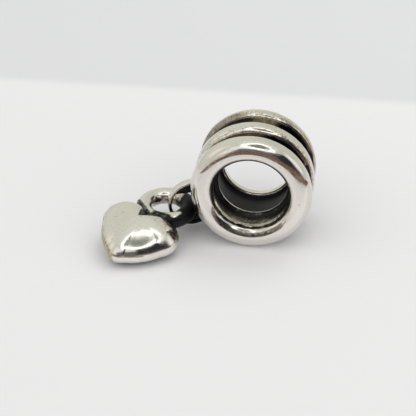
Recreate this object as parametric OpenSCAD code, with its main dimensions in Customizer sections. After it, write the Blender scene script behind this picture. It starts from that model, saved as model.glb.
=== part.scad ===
/* [Bead] */
// Outer radius of the front and middle ribs
rib_r = 3.9; // [3.7:0.05:4.2]
// Outer radius of the rear rib
rear_rib_r = 3.86; // [3.7:0.02:3.9]
// Length of the bead along its bore
bead_len = 5.5; // [5.2:0.1:6.4]
// Radius of the front mouth of the bore
front_mouth_r = 2.42; // [2.3:0.02:2.6]
// Radius of the rear mouth of the bore
rear_mouth_r = 2.26; // [2.1:0.02:2.5]
// Width of the front rib
front_rib_w = 1.3; // [1.2:0.05:1.6]
// Width of the middle rib
mid_rib_w = 1.05; // [0.8:0.05:1.3]
// Width of the rear rib
rear_rib_w = 1.3; // [1.2:0.05:1.6]
// Middle of the middle rib, from the middle of the bead towards the rear
mid_rib_y = -0.06; // [-0.2:0.02:0.2]
// Rounding of the front end's outer edge
front_nose_r = 0.82; // [0.7:0.02:0.9]
// Rounding of the rear end's outer edge
rear_nose_r = 0.84; // [0.7:0.02:0.9]
// Edge rounding where a rib drops into a groove
rib_edge_r = 0.34; // [0.2:0.02:0.4]
// Radius of the groove floors
groove_r = 3.18; // [3.0:0.02:3.4]
// Radius of the dark recess inside the bore
recess_r = 2.56; // [2.5:0.02:2.7]
// Radius of the crest of the ring inside the bore
ridge_r = 2.26; // [2.1:0.02:2.3]
// Middle of the ring inside the bore, from the middle of the bead
ridge_y = -0.68; // [-1:0.02:-0.4]

/* [Eye] */
// Outer radius of the eye, which is a ring of flat band
eye_r = 1.6; // [1.56:0.01:1.64]
// Thickness of the band
eye_wall = 0.22; // [0.18:0.01:0.26]
// Width of the band, along the eye's own axis
eye_w = 0.63; // [0.5:0.01:0.7]
// Distance of the eye's centre from the bore axis
eye_reach = 4.51; // [4.48:0.01:4.54]
// Angle of the eye's centre below the horizontal
eye_drop = 25.5; // [25:0.1:26]
// Place of the eye's centre along the bore axis
eye_y = -0.4; // [-0.46:0.01:-0.36]
// Swing of the eye's free side towards the front
eye_swing = 20.7; // [19:0.1:22]
// Height above the eye's centre down to which solder fills its upper corner
solder_level = 0.72; // [0.7:0.01:0.9]
// Angle below the eye's level line from which solder fills its lower corner
solder_low = 104; // [90:1:105]
// Thickness of the solder in the eye's corners
solder_t = 0.36; // [0.3:0.01:0.4]

/* [Heart] */
// Radius of each lobe
lobe_r = 1.43; // [1.4:0.01:1.6]
// Distance of each lobe's centre from the heart's axis
lobe_x = 1.29; // [1.2:0.01:1.36]
// Distance from the line of the lobes' centres to the tip
tip_y = 3.1; // [2.8:0.02:3.3]
// Rounding of the tip
tip_r = 0.88; // [0.5:0.02:1.1]
// How far each flank bulges past a straight line
flank_bulge = 0.2; // [0:0.02:0.4]
// Place of the thickest point, from the line of the lobes' centres towards the cleft
crown_y = 0.08; // [-0.5:0.02:0.2]
// Half of the heart's thickness
puff = 1.23; // [1.1:0.01:1.4]
// How far the cleft fills up towards the top, 1 for a top without a dent
cleft_fill = 0.1; // [0:0.05:0.6]
// Place of the lobes' line beside the bore axis
heart_x = -6.93; // [-7:0.01:-6.86]
// Place of the lobes' line along the bore axis
heart_y = -3.35; // [-3.42:0.01:-3.3]
// Heading of the heart's axis, from +X towards +Y
heading = 63.6; // [62:0.2:65]
// Lift of the loop's end of the heart
pitch = 11.5; // [10:0.5:13]
// Lift of the left lobe over the right one
roll = 12; // [10:0.5:13]

/* [Loop] */
// Radius of the loop's wire
loop_wire_r = 0.56; // [0.5:0.01:0.58]
// Radius of the loop at the middle of its wire
loop_r = 1.47; // [1.44:0.01:1.5]
// Loop's centre, to the right of the heart's axis
loop_u = 0.17; // [0.1:0.01:0.24]
// Loop's centre, beyond the line of the lobes' centres
loop_v = 2.6; // [2.56:0.01:2.64]
// Loop's centre, above the heart's middle plane
loop_w = -0.1; // [-0.16:0.01:0]
// Tilt of the loop against the heart's pitch
loop_lean = -10; // [-12:0.5:-8]
// Tilt of the loop against the heart's roll
loop_tilt = -9.5; // [-12:0.5:-8]

/* [Hidden] */
$fn = 72;

// The inner rounding of each end spans what is left between the nose and the mouth
front_lip_r = rib_r - front_nose_r - front_mouth_r;
rear_lip_r = rear_rib_r - rear_nose_r - rear_mouth_r;
front_y = -bead_len / 2;
rear_y = bead_len / 2;
front_rib_end = front_y + front_rib_w;
mid_rib_start = mid_rib_y - mid_rib_w / 2;
mid_rib_end = mid_rib_y + mid_rib_w / 2;
rear_rib_start = rear_y - rear_rib_w;
// Fillet at the foot of each groove wall
foot_r = 0.12;
// Short true cylinder inside each mouth, then a slope out to the recess
land_w = 0.24;
slope_w = 0.14;
front_land_end = front_y + front_lip_r + land_w;
rear_land_start = rear_y - rear_lip_r - land_w;
// Half widths of the inner ring, at its crest and at its foot
ridge_crest = 0.1;
ridge_foot = 0.3;

silver = [0.80, 0.80, 0.77];

// Points of an arc round a centre
function arc(centre, r, from, to, steps) =
    [for (i = [0:steps]) let (a = from + (to - from) * i / steps) centre + r * [cos(a), sin(a)]];

// Section of the barrel: distance from the bore axis, then place along it
function groove_points(start, end) = concat(
    arc([groove_r + foot_r, start + foot_r], foot_r, 270, 180, 3),
    arc([groove_r + foot_r, end - foot_r], foot_r, 180, 90, 3)
);
function rib_front_points(r, start) = arc([r - rib_edge_r, start + rib_edge_r], rib_edge_r, 270, 360, 6);
function rib_rear_points(r, end) = arc([r - rib_edge_r, end - rib_edge_r], rib_edge_r, 0, 90, 6);
barrel_section = concat(
    arc([front_mouth_r + front_lip_r, front_y + front_lip_r], front_lip_r, 180, 270, 10),
    arc([rib_r - front_nose_r, front_y + front_nose_r], front_nose_r, 270, 360, 10),
    rib_rear_points(rib_r, front_rib_end),
    groove_points(front_rib_end, mid_rib_start),
    rib_front_points(rib_r, mid_rib_start),
    rib_rear_points(rib_r, mid_rib_end),
    groove_points(mid_rib_end, rear_rib_start),
    rib_front_points(rear_rib_r, rear_rib_start),
    arc([rear_rib_r - rear_nose_r, rear_y - rear_nose_r], rear_nose_r, 0, 90, 10),
    arc([rear_mouth_r + rear_lip_r, rear_y - rear_lip_r], rear_lip_r, 90, 180, 10),
    [
        [rear_mouth_r, rear_land_start],
        [recess_r, rear_land_start - slope_w],
        [recess_r, ridge_y + ridge_foot],
        [ridge_r, ridge_y + ridge_crest],
        [ridge_r, ridge_y - ridge_crest],
        [recess_r, ridge_y - ridge_foot],
        [recess_r, front_land_end + slope_w],
        [front_mouth_r, front_land_end],
    ]
);

// Right half of the heart's outline, from the cleft round the lobe to the tip
cleft_angle = 180 - acos(lobe_x / lobe_r);
tip_centre = [0, tip_r - tip_y];
lobe_centre = [lobe_x, 0];
to_tip = tip_centre - lobe_centre;
flank_angle = atan2(to_tip.y, to_tip.x) + acos((lobe_r - tip_r) / norm(to_tip));
lobe_steps = 16;
flank_steps = 7;
tip_steps = 5;
lobe_arc = arc(lobe_centre, lobe_r, cleft_angle, flank_angle, lobe_steps);
tip_arc = arc(tip_centre, tip_r, flank_angle, -90, tip_steps);
flank_line = [
    for (i = [1:flank_steps - 1])
        let (s = i / flank_steps)
            lobe_arc[lobe_steps] * (1 - s) + tip_arc[0] * s
                + flank_bulge * sin(180 * s) * [cos(flank_angle), sin(flank_angle)]
];
right_outline = concat(lobe_arc, flank_line, tip_arc);
right_count = len(right_outline);
outline = concat(
    right_outline,
    [for (i = [right_count - 2:-1:1]) [-right_outline[i].x, right_outline[i].y]]
);
outline_count = len(outline);

// Rings of the puffed body: each is the outline drawn in towards the middle, so the
// section is an ellipse, and the cleft fills up a little as the rings climb
ring_count = 17;
middle = [0, crown_y];
lobe_top = 0.98 * lobe_r;
cleft_width = 0.6 * lobe_x;
function filled(p, lift) = p.y > 0
    ? [p.x, p.y + cleft_fill * lift * exp(-pow(p.x / cleft_width, 2)) * (lobe_top - p.y)]
    : p;
function ring(angle) = let (inset = cos(angle), lift = abs(sin(angle)))
    [
        for (p = outline)
            let (q = middle + inset * (filled(p, lift) - middle))
                [q.x, q.y, puff * sin(angle)]
    ];
ring_angles = [for (k = [1:ring_count]) 180 * k / (ring_count + 1) - 90];
heart_rings = [for (a = ring_angles) each ring(a)];
heart_raw = concat([[middle.x, middle.y, -puff]], heart_rings, [[middle.x, middle.y, puff]]);
heart_top = len(heart_raw) - 1;
function at(k, i) = 1 + k * outline_count + i % outline_count;
heart_faces = concat(
    [for (i = [0:outline_count - 1]) [0, at(0, i + 1), at(0, i)]],
    [
        for (k = [0:ring_count - 2], i = [0:outline_count - 1]) each [
            [at(k, i), at(k, i + 1), at(k + 1, i)],
            [at(k, i + 1), at(k + 1, i + 1), at(k + 1, i)],
        ]
    ],
    [for (i = [0:outline_count - 1]) [heart_top, at(ring_count - 1, i), at(ring_count - 1, i + 1)]]
);

// The heart's own frame: right of its axis, along its axis, up. It rolls, pitches
// and turns, then drops until it rests on the ground
function turn_x(p, a) = [p.x, p.y * cos(a) - p.z * sin(a), p.y * sin(a) + p.z * cos(a)];
function turn_y(p, a) = [p.x * cos(a) + p.z * sin(a), p.y, p.z * cos(a) - p.x * sin(a)];
function turn_z(p, a) = [p.x * cos(a) - p.y * sin(a), p.x * sin(a) + p.y * cos(a), p.z];
function turned(p) = turn_z(turn_x(turn_y(p, roll), pitch), heading - 90);
heart_turned = [for (p = heart_raw) turned(p)];
heart_z = -min([for (p = heart_turned) p.z]);

// Box of the whole piece with the bore axis over x = 0 and the middle at y = 0
low_x = heart_x + min([for (p = heart_turned) p.x]);
low_y = heart_y + min([for (p = heart_turned) p.y]);
centre = [(low_x + rib_r) / 2, (low_y + rear_y) / 2, 0];
bore_height = rib_r;

module barrel() {
    rotate([-90, 0, 0])
        rotate_extrude()
            polygon(barrel_section);
}

// The eye's band is rounded at both rims. Solder has run into its two corners with the
// barrel, and each fill is a flat segment that ends inside the band
eye_mid_r = eye_r - eye_wall / 2;
rim_place = eye_w / 2 - eye_wall / 2;
band_section = concat(
    arc([eye_mid_r, -rim_place], eye_wall / 2, 180, 360, 8),
    arc([eye_mid_r, rim_place], eye_wall / 2, 0, 180, 8)
);
upper_from = asin(solder_level / eye_mid_r);
module solder(from, to) {
    linear_extrude(solder_t, center = true)
        polygon(arc([0, 0], eye_mid_r, from, to, 24));
}

module eye() {
    translate([-eye_reach * cos(eye_drop), eye_y, -eye_reach * sin(eye_drop)])
        rotate([90, 0, eye_swing]) {
            rotate_extrude()
                polygon(band_section);
            solder(upper_from, 180 - upper_from);
            solder(-solder_low, 0);
        }
}

module bead() {
    color(silver)
        translate([0, 0, bore_height] - centre)
            union() {
                barrel();
                eye();
            }
}

module puffed_heart() {
    polyhedron(points = heart_raw, faces = heart_faces);
}

module loop() {
    translate([loop_u, loop_v, loop_w])
        rotate([loop_lean, loop_tilt, 0])
            rotate_extrude($fn = 48)
                translate([loop_r, 0])
                    circle(loop_wire_r, $fn = 14);
}

// Solder in the corner between a lobe and the loop, on each side of the cleft:
// it spans a place on the lobe, one in the cleft and one inside the loop's wire
fillet_on_lobe = [1.18, 1.12, -0.05];
fillet_in_cleft = [0.35, 0.9, -0.05];
fillet_angle = 38;
fillet_lobe_r = 0.32;
fillet_cleft_r = 0.4;
fillet_loop_r = 0.34;
module fillet(side) {
    hull() {
        translate([side * fillet_on_lobe.x, fillet_on_lobe.y, fillet_on_lobe.z])
            sphere(fillet_lobe_r, $fn = 14);
        translate([side * fillet_in_cleft.x, fillet_in_cleft.y, fillet_in_cleft.z])
            sphere(fillet_cleft_r, $fn = 14);
        translate([
            loop_u + side * loop_r * cos(fillet_angle),
            loop_v - loop_r * sin(fillet_angle),
            loop_w,
        ])
            sphere(fillet_loop_r, $fn = 14);
    }
}

module heart() {
    color(silver)
        translate([heart_x, heart_y, heart_z] - centre)
            rotate([0, 0, heading - 90])
                rotate([pitch, 0, 0])
                    rotate([0, roll, 0])
                        resize([0, 0, 0])
                            union() {
                                puffed_heart();
                                loop();
                                fillet(-1);
                                fillet(1);
                            }
}

bead();
heart();
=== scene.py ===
# %% [markdown]
# # A silver charm bead with a heart drop
# This notebook dresses a small piece of jewellery: a ribbed bead with a wide bore, standing on
# its ribs, and a puffed heart whose loop is linked to an eye on the bead's side. The packed
# model gives the place and size of both pieces, and nothing here moves or resizes them. Every
# length below is in millimetres until a mesh is made, where `MM` turns it into metres.

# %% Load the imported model
import math

import bmesh
import bpy
import numpy as np
from mathutils import Matrix, Vector, noise
from mathutils.bvhtree import BVHTree


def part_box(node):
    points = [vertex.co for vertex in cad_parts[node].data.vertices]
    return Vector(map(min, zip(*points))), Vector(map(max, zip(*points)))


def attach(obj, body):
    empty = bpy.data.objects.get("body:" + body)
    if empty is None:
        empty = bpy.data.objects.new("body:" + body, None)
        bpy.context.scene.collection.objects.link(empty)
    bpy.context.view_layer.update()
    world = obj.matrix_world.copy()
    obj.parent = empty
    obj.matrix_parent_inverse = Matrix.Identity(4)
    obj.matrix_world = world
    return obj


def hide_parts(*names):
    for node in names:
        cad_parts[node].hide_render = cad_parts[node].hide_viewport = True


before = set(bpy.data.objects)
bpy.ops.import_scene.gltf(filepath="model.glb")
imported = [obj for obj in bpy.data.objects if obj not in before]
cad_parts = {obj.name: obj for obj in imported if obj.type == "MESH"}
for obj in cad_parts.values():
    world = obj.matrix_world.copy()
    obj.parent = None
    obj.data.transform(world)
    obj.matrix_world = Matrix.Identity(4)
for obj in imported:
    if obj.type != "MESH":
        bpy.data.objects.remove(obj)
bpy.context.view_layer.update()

MM = 0.001

# %% [markdown]
# The bead is the piece that everything else is placed from. Its bore runs along Y, so the
# middle of the bore is half a bead in from its rear face and one rib radius above the floor.

# %% Find the middle of the bore
RIB_R = 3.9
REAR_RIB_R = 3.86
BEAD_LEN = 5.5

bead_low, bead_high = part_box("bead")
BORE = Vector((bead_high.x / MM - RIB_R, bead_high.y / MM - BEAD_LEN / 2, RIB_R))
print("width of the bead with its eye, mm:", round((bead_high.x - bead_low.x) / MM, 2))
print("middle of the bore, mm:", [round(v, 3) for v in BORE])

# %% [markdown]
# The camera looks down on the charm at about 31 degrees from a hand's width away, which gives
# the near rim its strong perspective. A long lens on a small sensor would look the same: what
# matters is the distance, and the field of view that frames the piece from there.

# %% Place the camera
VIEW_DISTANCE = 77.72
VIEW_ELEVATION = math.radians(31.24)
VIEW_AZIMUTH = math.radians(8.86)
VIEW_ROLL = math.radians(-0.46)
AIM_RIGHT = -3.03
AIM_UP = -1.98
LENS = 103.85

scene = bpy.context.scene
back = Vector((
    math.sin(VIEW_AZIMUTH) * math.cos(VIEW_ELEVATION),
    -math.cos(VIEW_AZIMUTH) * math.cos(VIEW_ELEVATION),
    math.sin(VIEW_ELEVATION),
))
level = Vector((math.cos(VIEW_AZIMUTH), math.sin(VIEW_AZIMUTH), 0))
upright = back.cross(level)
right = math.cos(VIEW_ROLL) * level + math.sin(VIEW_ROLL) * upright
up = math.cos(VIEW_ROLL) * upright - math.sin(VIEW_ROLL) * level
eye_point = BORE + level * AIM_RIGHT + upright * AIM_UP + back * VIEW_DISTANCE

camera_data = bpy.data.cameras.new("camera")
camera_data.lens = LENS
camera_data.sensor_width = 36
camera_data.clip_start = 0.001
camera = bpy.data.objects.new("camera", camera_data)
camera_turn = Matrix((right, up, back)).transposed().to_4x4()
camera.matrix_world = Matrix.Translation(eye_point * MM) @ camera_turn
scene.collection.objects.link(camera)
scene.camera = camera
print("camera, mm:", [round(v, 1) for v in eye_point])

# %% [markdown]
# ## Helpers for meshes
# Metal this small is judged by its reflections, and reflections show every flat facet. So the
# pieces are made as dense grids of points, worked out with numpy from a few sizes, and shaded
# smooth. `grid_faces` joins the rows of such a grid with quads.

# %% Mesh helpers
def arc(centre, radius, start, end, steps):
    """Points of an arc in degrees, both ends included."""
    angles = np.radians(np.linspace(start, end, steps + 1))
    across = centre[0] + radius * np.cos(angles)
    return np.column_stack((across, centre[1] + radius * np.sin(angles)))


def new_object(name, points, faces):
    """A smooth-shaded object from points in millimetres."""
    mesh = bpy.data.meshes.new(name)
    mesh.from_pydata((np.asarray(points) * MM).tolist(), [], faces)
    mesh.polygons.foreach_set("use_smooth", [True] * len(mesh.polygons))
    piece = bpy.data.objects.new(name, mesh)
    scene.collection.objects.link(piece)
    return piece


def grid_faces(rows, columns, close_rows=False, close_columns=True):
    """Quads between the points of a grid that is stored row by row."""
    faces = []
    for i in range(rows if close_rows else rows - 1):
        low = i * columns
        high = ((i + 1) % rows) * columns
        for j in range(columns if close_columns else columns - 1):
            k = (j + 1) % columns
            faces.append((low + j, low + k, high + k, high + j))
    return faces


def recalculate_outside(piece):
    """Turns every face to look outwards."""
    shell = bmesh.new()
    shell.from_mesh(piece.data)
    bmesh.ops.recalc_face_normals(shell, faces=shell.faces)
    shell.to_mesh(piece.data)
    shell.free()


print("points of a quarter round in 12 steps:", len(arc((0, 0), 1, 0, 90, 12)))

# %% [markdown]
# Old metal is uneven, and its tarnish fades in and out. `wobble` gives a small smooth
# unevenness, `smooth_step` a soft change from 0 to 1, and `set_mask` stores one number per
# point, which a material can read later by its name.

# %% Helpers for unevenness and masks
def wobble(points, scale, amount, seed):
    """Small smooth unevenness at each point, from -amount to amount."""
    shift = Vector((seed * 17.3, seed * 5.1, seed * 9.7))
    return np.array([amount * noise.noise(Vector(p) * scale + shift) for p in points])


def set_mask(piece, name, values):
    """Stores one number per point, for a material to read."""
    layer = piece.data.attributes.new(name, "FLOAT", "POINT")
    layer.data.foreach_set("value", np.clip(values, 0, 1).astype(np.float32))


def smooth_step(values, low, high):
    """0 below low, 1 above high, and a soft rise between."""
    t = np.clip((np.asarray(values, float) - low) / (high - low), 0, 1)
    return t * t * (3 - 2 * t)


print("a soft step a quarter and half of the way up:", smooth_step([0.25, 0.5], 0, 1))

# %% [markdown]
# ## The barrel
# The real bead was turned or cast as a short tube with three ribs. A lathe is the natural tool:
# draw half of the section once, as distance from the bore axis and place along it, and turn it
# round the axis. The front and rear ends are rounded by two radii, a large one outside and a
# smaller one towards the mouth, because that is how the light rolls over the rim. Two radii
# only sort the points later: `BORE_SIDE_R` is the last of the bore, `RIB_SIDE_R` the first of
# the ribs.

# %% Sizes of the barrel
FRONT_MOUTH_R = 2.42
REAR_MOUTH_R = 2.26
FRONT_RIB_W = 1.3
MID_RIB_W = 1.05
REAR_RIB_W = 1.3
MID_RIB_Y = -0.06
FRONT_NOSE_R = 0.82
REAR_NOSE_R = 0.84
RIB_EDGE_R = 0.34
WORN_EDGE_R = 0.48
RIB_SIDE_R = 3.0
BORE_SIDE_R = 2.6
GROOVE_R = 3.18
FOOT_R = 0.12
RECESS_R = 2.56
RIDGE_R = 2.26
RIDGE_Y = -0.68
RIDGE_CREST = 0.06
RIDGE_SHOULDER = 0.12
RIDGE_FOOT = 0.3
LAND_W = 0.24
SLOPE_W = 0.14

front_y = -BEAD_LEN / 2
rear_y = BEAD_LEN / 2
front_rib_end = front_y + FRONT_RIB_W
mid_rib_start = MID_RIB_Y - MID_RIB_W / 2
mid_rib_end = MID_RIB_Y + MID_RIB_W / 2
rear_rib_start = rear_y - REAR_RIB_W
front_lip_r = RIB_R - FRONT_NOSE_R - FRONT_MOUTH_R
rear_lip_r = REAR_RIB_R - REAR_NOSE_R - REAR_MOUTH_R
print("lip radii, mm:", round(front_lip_r, 2), round(rear_lip_r, 2))

# %% [markdown]
# Straight stretches get extra points too, so that the small unevenness added later has points
# to act on. `even_out` walks along the outline and places points at nearly equal spacing.

# %% Shapes that repeat in the section
def groove(start, end):
    """The two rounded corners of a groove's floor."""
    return np.vstack((
        arc((GROOVE_R + FOOT_R, start + FOOT_R), FOOT_R, 270, 180, 5),
        arc((GROOVE_R + FOOT_R, end - FOOT_R), FOOT_R, 180, 90, 5),
    ))


def front_edge(radius, start, edge_r=RIB_EDGE_R):
    """The rounded corner at the front of a rib."""
    return arc((radius - edge_r, start + edge_r), edge_r, 270, 360, 12)


def rear_edge(radius, end):
    """The rounded corner at the rear of a rib."""
    return arc((radius - RIB_EDGE_R, end - RIB_EDGE_R), RIB_EDGE_R, 0, 90, 10)


def even_out(outline, spacing):
    """A closed outline with points added where two neighbours are far apart."""
    result = []
    for here, there in zip(outline, np.roll(outline, -1, axis=0)):
        gap = np.linalg.norm(there - here)
        if gap < 1e-6:
            continue
        parts = max(1, math.ceil(gap / spacing))
        result.extend(here + (there - here) * s / parts for s in range(parts))
    return np.array(result)


print("points of one groove's corners:", len(groove(front_rib_end, mid_rib_start)))

# %% [markdown]
# The section starts at the front mouth, runs out over the lip and the three ribs and comes
# back through the bore, which has a short land at each mouth and a low ring between them.

# %% Draw the section
SECTION_SPACING = 0.12
BEVEL = 0.03

front_land_end = front_y + front_lip_r + LAND_W
rear_land_start = rear_y - rear_lip_r - LAND_W
bore_wall = [
    (REAR_MOUTH_R, rear_land_start),
    (RECESS_R, rear_land_start - SLOPE_W),
    (RECESS_R, RIDGE_Y + RIDGE_FOOT),
    (RIDGE_R + BEVEL, RIDGE_Y + RIDGE_SHOULDER),
    (RIDGE_R, RIDGE_Y + RIDGE_CREST),
    (RIDGE_R, RIDGE_Y - RIDGE_CREST),
    (RIDGE_R + BEVEL, RIDGE_Y - RIDGE_SHOULDER),
    (RECESS_R, RIDGE_Y - RIDGE_FOOT),
    (RECESS_R, front_land_end + SLOPE_W),
    (FRONT_MOUTH_R, front_land_end),
    (FRONT_MOUTH_R, front_land_end - BEVEL),
]
section = even_out(np.vstack((
    arc((FRONT_MOUTH_R + front_lip_r, front_y + front_lip_r), front_lip_r, 180, 270, 22),
    arc((RIB_R - FRONT_NOSE_R, front_y + FRONT_NOSE_R), FRONT_NOSE_R, 270, 360, 26),
    rear_edge(RIB_R, front_rib_end),
    groove(front_rib_end, mid_rib_start),
    front_edge(RIB_R, mid_rib_start, WORN_EDGE_R),
    rear_edge(RIB_R, mid_rib_end),
    groove(mid_rib_end, rear_rib_start),
    front_edge(REAR_RIB_R, rear_rib_start),
    arc((REAR_RIB_R - REAR_NOSE_R, rear_y - REAR_NOSE_R), REAR_NOSE_R, 0, 90, 24),
    arc((REAR_MOUTH_R + rear_lip_r, rear_y - rear_lip_r), rear_lip_r, 90, 180, 20),
    bore_wall,
)), SECTION_SPACING)
print("points round the barrel's section:", len(section))

# %% [markdown]
# Years on a bracelet leave the ribs a little out of round. The unevenness is only a hundredth
# of a millimetre, pressed inwards so that the piece never grows, yet it makes the bright
# streaks waver the way they do on a real bead.

# %% Turn the barrel
TURNS = 400
BARREL_DENT = 0.012
DENT_ROOM = 1.4 * BARREL_DENT

section_r = section[:, 0]
section_y = section[:, 1]
turn = np.linspace(0, 2 * math.pi, TURNS, endpoint=False)
radial = np.column_stack((np.cos(turn), np.zeros(TURNS), np.sin(turn)))
barrel_points = (radial[:, None, :] * section[None, :, :1]).reshape(-1, 3)
barrel_points[:, 1] = np.tile(section_y, TURNS)
uneven = wobble(barrel_points, 0.9, BARREL_DENT, 1) + wobble(barrel_points, 2.6, BARREL_DENT / 3, 2)
outer = np.tile(smooth_step(section_r, BORE_SIDE_R, RIB_SIDE_R), TURNS)
barrel_radial = np.repeat(radial, len(section), axis=0)
barrel_points += barrel_radial * (outer * (uneven - DENT_ROOM))[:, None]
print("deepest dent in the ribs, mm:", round(float((DENT_ROOM - uneven).max()), 3))

# %% [markdown]
# The lower edge of the front mouth has been knocked most. Small nicks there, finer and deeper
# than the dents, break its bright line into flecks.

# %% Nick the front mouth
MOUTH_NICK = 0.02
NICKS_FROM = 0.25
NICKS_FULL = 0.45
NICKS_FADE = 0.85
NICKS_END = 0.95

by_mouth = smooth_step(section_y, front_y + NICKS_FROM, front_y + NICKS_FULL)
by_mouth *= 1 - smooth_step(section_y, front_y + NICKS_FADE, front_y + NICKS_END)
by_mouth *= 1 - smooth_step(section_r, BORE_SIDE_R, BORE_SIDE_R + 0.1)
low_part = smooth_step(-np.sin(turn), 0.3, 0.6)
nicks = wobble(barrel_points, 4.5, MOUTH_NICK, 4) * np.outer(low_part, by_mouth).reshape(-1)
barrel_points += barrel_radial * nicks[:, None]

barrel_faces = grid_faces(TURNS, len(section), close_rows=True)
barrel = new_object("bead_barrel", barrel_points + np.array(BORE), barrel_faces)
recalculate_outside(barrel)
print("barrel points:", len(barrel_points))

# %% [markdown]
# The dark finish sits wherever a polishing cloth can't reach: in both grooves and inside the
# bore. Each mask on the barrel is the product of two simple profiles, one along the section
# and one round the bore in degrees. `stretch_of` draws both kinds, as a plateau with soft ends.
# `turn_degrees` is 0 on the right side and 90 on top; `low_turn` is 0 on the left side and 90
# at the bottom, so that neither of them jumps where it is used.

# %% Measure places on the barrel
turn_degrees = (np.degrees(turn) + 90) % 360 - 90
low_turn = (turn_degrees + 180) % 360


def stretch_of(values, low, high, soft):
    """1 between low and high, with soft ends outside them."""
    return smooth_step(values, low - soft, low) * (1 - smooth_step(values, high, high + soft))


def groove_up_to(full_r, none_r):
    """1 in the grooves up to the first radius, fading out at the second."""
    outside_bore = smooth_step(section_r, RIB_SIDE_R, RIB_SIDE_R + 0.1)
    return (1 - smooth_step(section_r, full_r, none_r)) * outside_bore


in_front = stretch_of(section_y, front_rib_end - 0.3, mid_rib_start + 0.3, 0.1)
in_rear = stretch_of(section_y, mid_rib_end - 0.3, rear_rib_start + 0.35, 0.1)
groove_floor = groove_up_to(3.45, 3.84)
print("section points in the grooves:", int((groove_floor > 0.5).sum()))

# %% [markdown]
# Neither groove is black all the way round. The front one has been rubbed on its top and left,
# the rear one most on its top, and the right side of both is still black up the ribs' walls.
# The rear rib's near face has dimmed on the left.

# %% Mark where the grooves are dark
FRONT_RUBBED = (88, 160, 30)
REAR_RUBBED_TOP = (70, 94, 10)
REAR_RUBBED_LEFT = (94, 150, 14)
RIGHT_SIDE = (-60, 54, 14)
LOW_RIGHT = (-60, 18, 14)
REAR_RIB_DIM = (112, 170, 12)

front_black = 1 - 0.55 * stretch_of(turn_degrees, *FRONT_RUBBED)
rear_black = 1 - np.maximum(
    0.66 * stretch_of(turn_degrees, *REAR_RUBBED_TOP),
    0.4 * stretch_of(turn_degrees, *REAR_RUBBED_LEFT),
)
right_walls = np.maximum(groove_up_to(3.50, 3.80) * in_front, groove_up_to(3.56, 3.84) * in_rear)
low_right_walls = groove_up_to(3.66, 3.87) * np.maximum(in_front, in_rear)
rear_side = stretch_of(section_y, rear_rib_start - 0.05, rear_rib_start + 0.3, 0.15)
rear_side *= smooth_step(section_r, 3.3, 3.4)
grooves_dark = np.maximum.reduce((
    np.outer(front_black, groove_floor * in_front),
    np.outer(rear_black, groove_floor * in_rear),
    np.outer(stretch_of(turn_degrees, *RIGHT_SIDE), right_walls),
    np.outer(stretch_of(turn_degrees, *LOW_RIGHT), low_right_walls),
    np.outer(0.5 * stretch_of(turn_degrees, *REAR_RIB_DIM), rear_side),
))
print("share dark in the grooves:", round(float(grooves_dark.mean()), 2))

# %% [markdown]
# Inside the bore the finish is black behind the ring and worn to brown low in front of it,
# where a bracelet rubs. The ring's rear edge shines, most on the left. Below, the lip carries
# a dark arc, a painted reflection of the room's dark bands, and the land behind it a broken
# dark arc. `lip_angle` goes round the lip's arc, from 0 on the bore side to 90 on the front face.

# %% Mark where the bore is dark
BORE_WORN = (62, 125, 22)
RING_LEFT = (0, 60, 30)
LIP_LOW = (48, 132, 14)
LIP_BAND = (50, 72, 7)
LAND_LOW = (30, 150, 15)

below_lips = smooth_step(section_y, front_y + 0.82, front_y + 1.0)
below_lips *= 1 - smooth_step(section_y, rear_y - 1.12, rear_y - 0.95)
in_bore = (1 - smooth_step(section_r, FRONT_MOUTH_R, RECESS_R)) * below_lips
in_recess = stretch_of(section_r, 2.5, 2.6, 0.15)
in_recess *= stretch_of(section_y, front_y + 0.95, rear_y - 0.95, 0.25)
bore_front = 1 - smooth_step(section_y, RIDGE_Y - RIDGE_FOOT, RIDGE_Y - RIDGE_SHOULDER)
ring_edge = stretch_of(section_y, RIDGE_Y + 0.02, RIDGE_Y + RIDGE_SHOULDER, 0.05)
ring_edge *= 1 - smooth_step(section_r, 2.28, 2.36)
ring_shine = np.outer(0.6 + 0.4 * stretch_of(low_turn, *RING_LEFT), ring_edge)
worn_low = np.outer(0.34 * stretch_of(low_turn, *BORE_WORN), bore_front)
bore_dark = (0.75 * in_bore + in_recess) * (1 - ring_shine) * (1 - worn_low)

lip_centre_r = FRONT_MOUTH_R + front_lip_r
lip_centre_y = front_y + front_lip_r
lip_angle = np.degrees(np.arctan2(lip_centre_y - section_y, lip_centre_r - section_r))
# Painted reflection of the room's dark bands: a dark arc on the lower lip.
lip_arc = stretch_of(lip_angle, *LIP_BAND)
lip_arc *= (section_r < lip_centre_r) & (section_y < lip_centre_y)
on_land = stretch_of(section_y, front_y + 0.62, front_y + 0.86, 0.1)
on_land *= section_r < FRONT_MOUTH_R + 0.04
barrel_dark = np.maximum.reduce((
    bore_dark,
    grooves_dark,
    np.outer(0.6 * stretch_of(low_turn, *LIP_LOW), lip_arc),
    np.outer(0.42 * stretch_of(low_turn, *LAND_LOW), on_land),
))
set_mask(barrel, "dark", barrel_dark.reshape(-1))
print("share of the barrel that is dark:", round(float(barrel_dark.mean()), 2))

# %% [markdown]
# Where the black has worn off, it leaves a thin brown film behind. It shows on the shoulders
# beside both grooves, on the rear rib's near face and low inside the bore.

# %% Mark where a brown film has stayed
SHOULDERS_RIGHT = (-20, 60, 20)
REAR_FACE_LEFT = (110, 165, 15)
BORE_LOW = (40, 140, 20)

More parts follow.
